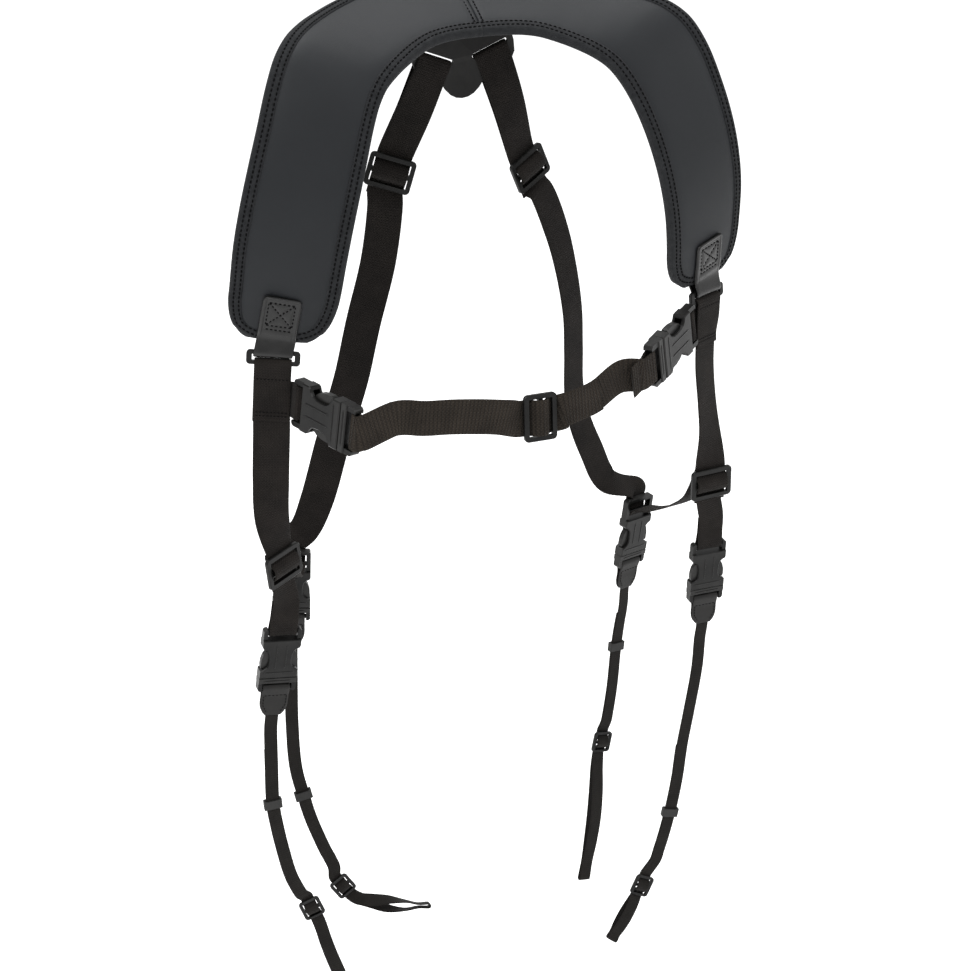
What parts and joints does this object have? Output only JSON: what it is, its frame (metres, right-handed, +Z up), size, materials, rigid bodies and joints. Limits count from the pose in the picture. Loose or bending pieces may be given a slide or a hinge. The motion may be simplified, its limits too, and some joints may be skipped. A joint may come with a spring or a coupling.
{
  "type": "binocular harness",
  "caption": "Padded shoulder yoke with crossing rear straps, chest strap and detachable webbing tethers, worn to carry a pair of binoculars on the chest.",
  "frame": {"origin": "nape rest: the middle of the yoke's underside, where it lies on the back of the neck", "axes": "+X to the wearer's left, -Y to the front, +Z up"},
  "size_m": [0.3762, 0.1652, 0.7833],
  "materials": {
    "yoke_face": "smooth charcoal laminate cloth, low sheen",
    "yoke_lining": "dark spacer mesh",
    "edge_tape": "folded woven edge tape with two rows of stitching",
    "moulded_plate": "flexible moulded plate, fine grain",
    "tab_leather": "dark grey glossed leather, box and cross stitching",
    "keeper_leather": "soft dark leather, worn at the fold",
    "keeper_rubber": "black rubber",
    "tether_webbing": "narrow black-brown webbing",
    "main_webbing": "black-brown ribbed webbing",
    "chest_webbing": "ribbed dark brown webbing",
    "moulded_ring": "dark grey moulding, lighter worn edges",
    "moulded_hardware": "dark grey moulding, lighter worn edges"
  },
  "bodies": {
    "harness": {"yoke_pad": "yoke_face", "yoke_lining": "yoke_lining", "edge_binding": "edge_tape", "leather_tab_right": "tab_leather", "shoulder_ring_right": "moulded_ring", "leather_tab_left": "tab_leather", "shoulder_ring_left": "moulded_ring", "front_strap_right": "main_webbing", "front_slider_right": "moulded_hardware", "front_strap_left": "main_webbing", "front_slider_left": "moulded_hardware", "rear_strap_right": "main_webbing", "rear_slider_right": "moulded_hardware", "rear_strap_left": "main_webbing", "rear_slider_left": "moulded_hardware", "back_plate": "moulded_plate", "sternum_female_right": "moulded_hardware", "sternum_anchor_right": "main_webbing", "sternum_female_left": "moulded_hardware", "sternum_anchor_left": "main_webbing", "sternum_strap": "chest_webbing", "sternum_slider": "moulded_hardware", "tether_female_front_right": "moulded_hardware", "tether_female_front_left": "moulded_hardware", "tether_female_rear_left": "moulded_hardware", "tether_female_rear_right": "moulded_hardware"},
    "sternum_male_left": {"sternum_male_left": "moulded_hardware"},
    "sternum_left_prong_b": {"sternum_prong_left_b": "moulded_hardware"},
    "sternum_left_prong_a": {"sternum_prong_left_a": "moulded_hardware"},
    "sternum_male_right": {"sternum_male_right": "moulded_hardware"},
    "sternum_right_prong_b": {"sternum_prong_right_b": "moulded_hardware"},
    "sternum_right_prong_a": {"sternum_prong_right_a": "moulded_hardware"},
    "male_front_left": {"tether_male_front_left": "moulded_hardware"},
    "front_left_prong_b": {"tether_prong_front_left_b": "moulded_hardware"},
    "front_left_prong_a": {"tether_prong_front_left_a": "moulded_hardware"},
    "tether_front_left": {"tether_keeper_front_left": "keeper_leather", "tether_strap_front_left": "tether_webbing", "tether_slider_front_left": "moulded_hardware"},
    "ring_front_left": {"tether_ring_front_left": "keeper_rubber"},
    "male_front_right": {"tether_male_front_right": "moulded_hardware"},
    "front_right_prong_b": {"tether_prong_front_right_b": "moulded_hardware"},
    "front_right_prong_a": {"tether_prong_front_right_a": "moulded_hardware"},
    "tether_front_right": {"tether_keeper_front_right": "keeper_leather", "tether_strap_front_right": "tether_webbing", "tether_slider_front_right": "moulded_hardware"},
    "ring_front_right": {"tether_ring_front_right": "keeper_rubber"},
    "male_rear_left": {"tether_male_rear_left": "moulded_hardware"},
    "rear_left_prong_b": {"tether_prong_rear_left_b": "moulded_hardware"},
    "rear_left_prong_a": {"tether_prong_rear_left_a": "moulded_hardware"},
    "tether_rear_left": {"tether_keeper_rear_left": "keeper_leather", "tether_strap_rear_left": "tether_webbing", "tether_slider_rear_left": "moulded_hardware"},
    "ring_rear_left": {"tether_ring_rear_left": "keeper_rubber"},
    "male_rear_right": {"tether_male_rear_right": "moulded_hardware"},
    "rear_right_prong_b": {"tether_prong_rear_right_b": "moulded_hardware"},
    "rear_right_prong_a": {"tether_prong_rear_right_a": "moulded_hardware"},
    "tether_rear_right": {"tether_keeper_rear_right": "keeper_leather", "tether_strap_rear_right": "tether_webbing", "tether_slider_rear_right": "moulded_hardware"},
    "ring_rear_right": {"tether_ring_rear_right": "keeper_rubber"}
  },
  "joints": [
    {"name": "sternum_release_left", "type": "slide", "parent": "harness", "child": "sternum_male_left", "axis": [-0.8066, -0.5449, -0.2292], "range_m": [0, 0.0364], "deforming": ["sternum_prong_left_a", "sternum_prong_left_b", "sternum_strap"]},
    {"name": "sternum_left_prong_b_flex", "type": "hinge", "parent": "sternum_male_left", "child": "sternum_left_prong_b", "pos_m": [0.10707, -0.09375, -0.2462], "axis": [0.5619, -0.8271, -0.011], "range_deg": [0, 10], "stiffness_Nm_per_rad": 0.6},
    {"name": "sternum_left_prong_a_flex", "type": "hinge", "parent": "sternum_male_left", "child": "sternum_left_prong_a", "pos_m": [0.1031, -0.09673, -0.22517], "axis": [0.5619, -0.8271, -0.011], "range_deg": [-10, 0], "stiffness_Nm_per_rad": 0.6},
    {"name": "sternum_release_right", "type": "slide", "parent": "harness", "child": "sternum_male_right", "axis": [0.4004, -0.9126, -0.083], "range_m": [0, 0.0364], "deforming": ["sternum_prong_right_a", "sternum_prong_right_b", "sternum_strap"]},
    {"name": "sternum_right_prong_b_flex", "type": "hinge", "parent": "sternum_male_right", "child": "sternum_right_prong_b", "pos_m": [-0.12861, -0.11344, -0.23039], "axis": [-0.9076, -0.4074, 0.1014], "range_deg": [0, 10], "stiffness_Nm_per_rad": 0.6},
    {"name": "sternum_right_prong_a_flex", "type": "hinge", "parent": "sternum_male_right", "child": "sternum_right_prong_a", "pos_m": [-0.13134, -0.11269, -0.25181], "axis": [-0.9076, -0.4074, 0.1014], "range_deg": [-10, 0], "stiffness_Nm_per_rad": 0.6},
    {"name": "release_front_left", "type": "slide", "parent": "harness", "child": "male_front_left", "axis": [-0.0087, 0.0581, -0.9983], "range_m": [0, 0.03], "deforming": ["tether_prong_front_left_a", "tether_prong_front_left_b"]},
    {"name": "front_left_prong_b_flex", "type": "hinge", "parent": "male_front_left", "child": "front_left_prong_b", "pos_m": [0.17839, -0.05504, -0.44892], "axis": [-0.0005, -0.9983, -0.0581], "range_deg": [0, 10], "stiffness_Nm_per_rad": 0.6},
    {"name": "front_left_prong_a_flex", "type": "hinge", "parent": "male_front_left", "child": "front_left_prong_a", "pos_m": [0.16059, -0.05504, -0.44876], "axis": [-0.0005, -0.9983, -0.0581], "range_deg": [-10, 0], "stiffness_Nm_per_rad": 0.6},
    {"name": "swing_front_left", "type": "hinge", "parent": "male_front_left", "child": "tether_front_left", "pos_m": [0.16942, -0.05458, -0.45672], "axis": [1, 0, -0.0087], "range_deg": [-60, 20]},
    {"name": "slide_ring_front_left", "type": "slide", "parent": "tether_front_left", "child": "ring_front_left", "axis": [-0.2121, 0.0023, -0.9772], "range_m": [-0.004, 0.004]},
    {"name": "release_front_right", "type": "slide", "parent": "harness", "child": "male_front_right", "axis": [-0.1495, 0.0598, -0.9869], "range_m": [0, 0.03], "deforming": ["tether_prong_front_right_a", "tether_prong_front_right_b"]},
    {"name": "front_right_prong_b_flex", "type": "hinge", "parent": "male_front_right", "child": "front_right_prong_b", "pos_m": [-0.16291, -0.05498, -0.45407], "axis": [-0.009, -0.9982, -0.0591], "range_deg": [0, 10], "stiffness_Nm_per_rad": 0.6},
    {"name": "front_right_prong_a_flex", "type": "hinge", "parent": "male_front_right", "child": "front_right_prong_a", "pos_m": [-0.18051, -0.05498, -0.4514], "axis": [-0.009, -0.9982, -0.0591], "range_deg": [-10, 0], "stiffness_Nm_per_rad": 0.6},
    {"name": "swing_front_right", "type": "hinge", "parent": "male_front_right", "child": "tether_front_right", "pos_m": [-0.17289, -0.0545, -0.46053], "axis": [0.9887, 0, -0.1498], "range_deg": [-60, 20]},
    {"name": "slide_ring_front_right", "type": "slide", "parent": "tether_front_right", "child": "ring_front_right", "axis": [0.0456, -0.0033, -0.999], "range_m": [-0.004, 0.004]},
    {"name": "release_rear_left", "type": "slide", "parent": "harness", "child": "male_rear_left", "axis": [-0.1076, 0.0574, -0.9925], "range_m": [0, 0.03], "deforming": ["tether_prong_rear_left_a", "tether_prong_rear_left_b"]},
    {"name": "rear_left_prong_b_flex", "type": "hinge", "parent": "male_rear_left", "child": "rear_left_prong_b", "pos_m": [0.14306, 0.01012, -0.44165], "axis": [0.3499, -0.9323, -0.0918], "range_deg": [0, 10], "stiffness_Nm_per_rad": 0.6},
    {"name": "rear_left_prong_a_flex", "type": "hinge", "parent": "male_rear_left", "child": "rear_left_prong_a", "pos_m": [0.1265, 0.00376, -0.44022], "axis": [0.3499, -0.9323, -0.0918], "range_deg": [-10, 0], "stiffness_Nm_per_rad": 0.6},
    {"name": "swing_rear_left", "type": "hinge", "parent": "male_rear_left", "child": "tether_rear_left", "pos_m": [0.13393, 0.00739, -0.44878], "axis": [0.9306, 0.3572, -0.0802], "range_deg": [-8, 60]},
    {"name": "slide_ring_rear_left", "type": "slide", "parent": "tether_rear_left", "child": "ring_rear_left", "axis": [-0.1045, -0.0164, -0.9944], "range_m": [-0.004, 0.004]},
    {"name": "release_rear_right", "type": "slide", "parent": "harness", "child": "male_rear_right", "axis": [-0.0359, 0.0797, -0.9962], "range_m": [0, 0.03], "deforming": ["tether_prong_rear_right_a", "tether_prong_rear_right_b"]},
    {"name": "rear_right_prong_b_flex", "type": "hinge", "parent": "male_rear_right", "child": "rear_right_prong_b", "pos_m": [-0.13239, 0.00743, -0.43516], "axis": [-0.2618, -0.9627, -0.0676], "range_deg": [0, 10], "stiffness_Nm_per_rad": 0.6},
    {"name": "rear_right_prong_a_flex", "type": "hinge", "parent": "male_rear_right", "child": "rear_right_prong_a", "pos_m": [-0.14956, 0.01203, -0.43417], "axis": [-0.2618, -0.9627, -0.0676], "range_deg": [-10, 0], "stiffness_Nm_per_rad": 0.6},
    {"name": "swing_rear_right", "type": "hinge", "parent": "male_rear_right", "child": "tether_rear_right", "pos_m": [-0.14126, 0.01036, -0.44253], "axis": [0.9644, -0.2584, -0.0554], "range_deg": [-20, 60]},
    {"name": "slide_ring_rear_right", "type": "slide", "parent": "tether_rear_right", "child": "ring_rear_right", "axis": [0.1865, -0.0424, -0.9815], "range_m": [-0.004, 0.004]}
  ],
  "couplings": [
    {"joint": "sternum_left_prong_a_flex", "follows": "sternum_left_prong_b_flex", "ratio": -1},
    {"joint": "sternum_right_prong_a_flex", "follows": "sternum_right_prong_b_flex", "ratio": -1},
    {"joint": "front_left_prong_a_flex", "follows": "front_left_prong_b_flex", "ratio": -1},
    {"joint": "front_right_prong_a_flex", "follows": "front_right_prong_b_flex", "ratio": -1},
    {"joint": "rear_left_prong_a_flex", "follows": "rear_left_prong_b_flex", "ratio": -1},
    {"joint": "rear_right_prong_a_flex", "follows": "rear_right_prong_b_flex", "ratio": -1}
  ]
}
